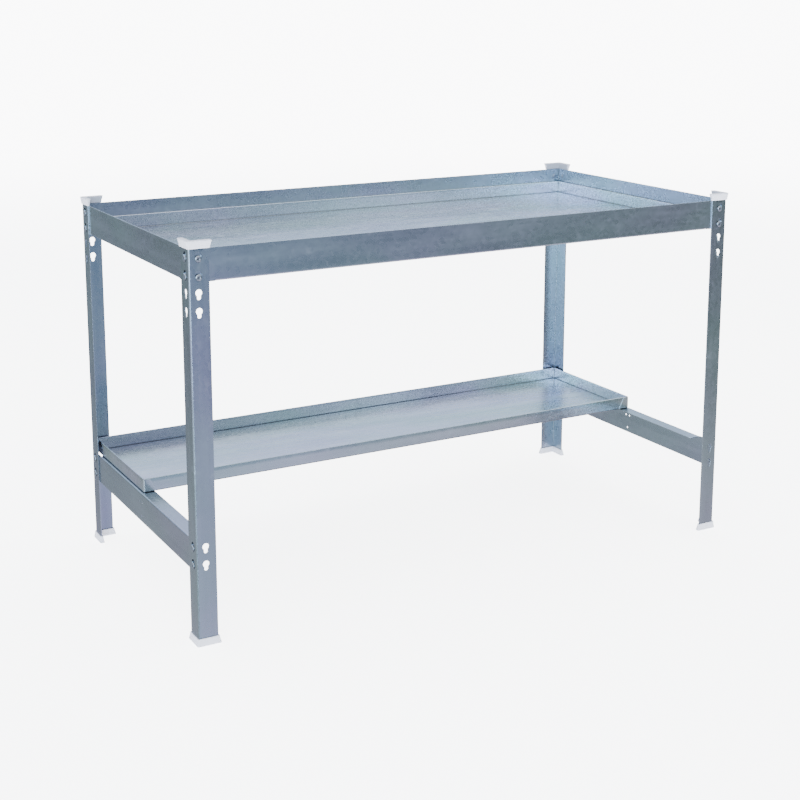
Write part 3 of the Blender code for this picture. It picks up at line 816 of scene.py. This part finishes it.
def make_floor():
    """Round pale floor with a hardly visible mottle; its rim fades into the studio's own white."""
    paint = Finish("pale_floor", {"Emission Color": (1.0, 1.0, 1.0, 1.0), "Emission Strength": 5.5})
    paint.made.cycles.emission_sampling = "NONE"
    place = paint.node("TexCoord", out="Object")
    cloud = paint.noise(place, 0.8, 3.0)
    tone = paint.blend(cloud, (0.86, 0.87, 0.88, 1.0), (0.92, 0.92, 0.93, 1.0))
    away = paint.node("VectorMath", {"operation": "LENGTH"}, {0: place}, out="Value")
    fade = paint.node("MapRange", {"interpolation_type": "SMOOTHSTEP"},
                      {"Value": away, 1: FLOOR_FADE, 2: FLOOR_REACH, 3: 1.0, 4: 0.0})
    paint.feed(paint.shader.inputs["Alpha"], fade)
    turn = np.arange(96) * (2.0 * math.pi / 96)
    rim = FLOOR_REACH * np.stack([np.cos(turn), np.sin(turn), np.zeros(96)], axis=1)
    mesh = bpy.data.meshes.new("floor")
    mesh.from_pydata(rim.tolist(), [], [list(range(96))])
    mesh.materials.append(paint.finish(tone, cloud * 0.1 + 0.6))
    floor = bpy.data.objects.new("floor", mesh)
    bpy.context.scene.collection.objects.link(floor)
    floor.visible_glossy = False             # the metal mirrors the studio's grey floor instead
    floor.visible_shadow = False             # or it would hide the studio's lower half from the metal


def make_studio():
    """White surroundings for the eye; for the metal, a grey shop floor, pale walls, a bright ceiling."""
    world = bpy.data.worlds.new("studio")
    world.use_nodes = True
    sky = Network(world.node_tree)
    towards = sky.node("TexCoord", out="Generated")
    split = sky.node("SeparateXYZ", None, {0: towards}).socket.node.outputs
    right, back, height = (Wire(sky, split[axis]) for axis in "XYZ")
    around = right * 0.5 + 0.5

    def rise(value, limits):
        return sky.node("MapRange", {"interpolation_type": "SMOOTHSTEP"},
                        {"Value": value, 1: limits[0], 2: limits[1]})

    under = sky.blend(rise(height, NEAR_TO_FAR), sky.ramp(around, *NEAR_FLOOR),
                      sky.ramp(around, *SHOP_FLOOR))
    over = sky.blend(rise(back, FRONT_TO_BACK), sky.ramp(around, *SHOP_FRONT), (*SHOP_BACK, 1.0))
    level = sky.blend(rise(height, FLOOR_TO_WALL), under, over)
    room = sky.blend(rise(height, WALL_TO_CEILING), level, (*CEILING, 1.0))
    near = sky.node("VectorMath", {"operation": "DOT_PRODUCT"}, {0: towards, 1: BEHIND_EYE},
                    out="Value")
    lit = rise(near, DOORWAY_EDGE) * rise(height, DOORWAY_SILL)
    studio = sky.blend(lit, room, (*DOORWAY, 1.0))
    seen = sky.node("LightPath", out="Is Camera Ray")
    colour = sky.blend(seen, studio, (*BACKDROP, 1.0))
    sky.feed(sky.tree.nodes["Background"].inputs["Color"], colour)
    bpy.context.scene.world = world


def aim(thing, place, target):
    """Stand a lamp or camera at a place, looking at a target."""
    thing.location = place
    thing.rotation_euler = (Vector(target) - Vector(place)).to_track_quat("-Z", "Y").to_euler()


def softbox(name, place, target, size, watts, colour):
    """Large soft lamp."""
    lamp = bpy.data.lights.new(name, "AREA")
    lamp.shape, lamp.size, lamp.size_y = "RECTANGLE", *size
    lamp.energy, lamp.color = watts, colour
    stand = bpy.data.objects.new(name, lamp)
    stand.visible_camera = False
    bpy.context.scene.collection.objects.link(stand)
    aim(stand, place, target)


make_floor()
make_studio()
softbox("front_right", (2.2, -3.4, 1.7), (0.4, 0.2, 0.7), (0.9, 1.2), 9.0, (0.76, 0.88, 1.0))
softbox("overhead", (0.5, 0.6, 3.6), (0.0, 0.0, 0.4), (4.0, 3.0), 70.0, (1.0, 0.99, 0.97))

CAMERA_PLACE = (-1.475, -2.612, 1.1795)
CAMERA_YAW, CAMERA_PITCH = 0.509, 0.191      # right of the Y axis, and down, in radians
lens = bpy.data.cameras.new("camera")
lens.sensor_width, lens.lens, lens.shift_y = 36.0, 64.9, -0.17
camera = bpy.data.objects.new("camera", lens)
camera.location = CAMERA_PLACE
camera.rotation_euler = (QUARTER - CAMERA_PITCH, 0.0, -CAMERA_YAW)
bpy.context.scene.collection.objects.link(camera)
bpy.context.scene.camera = camera
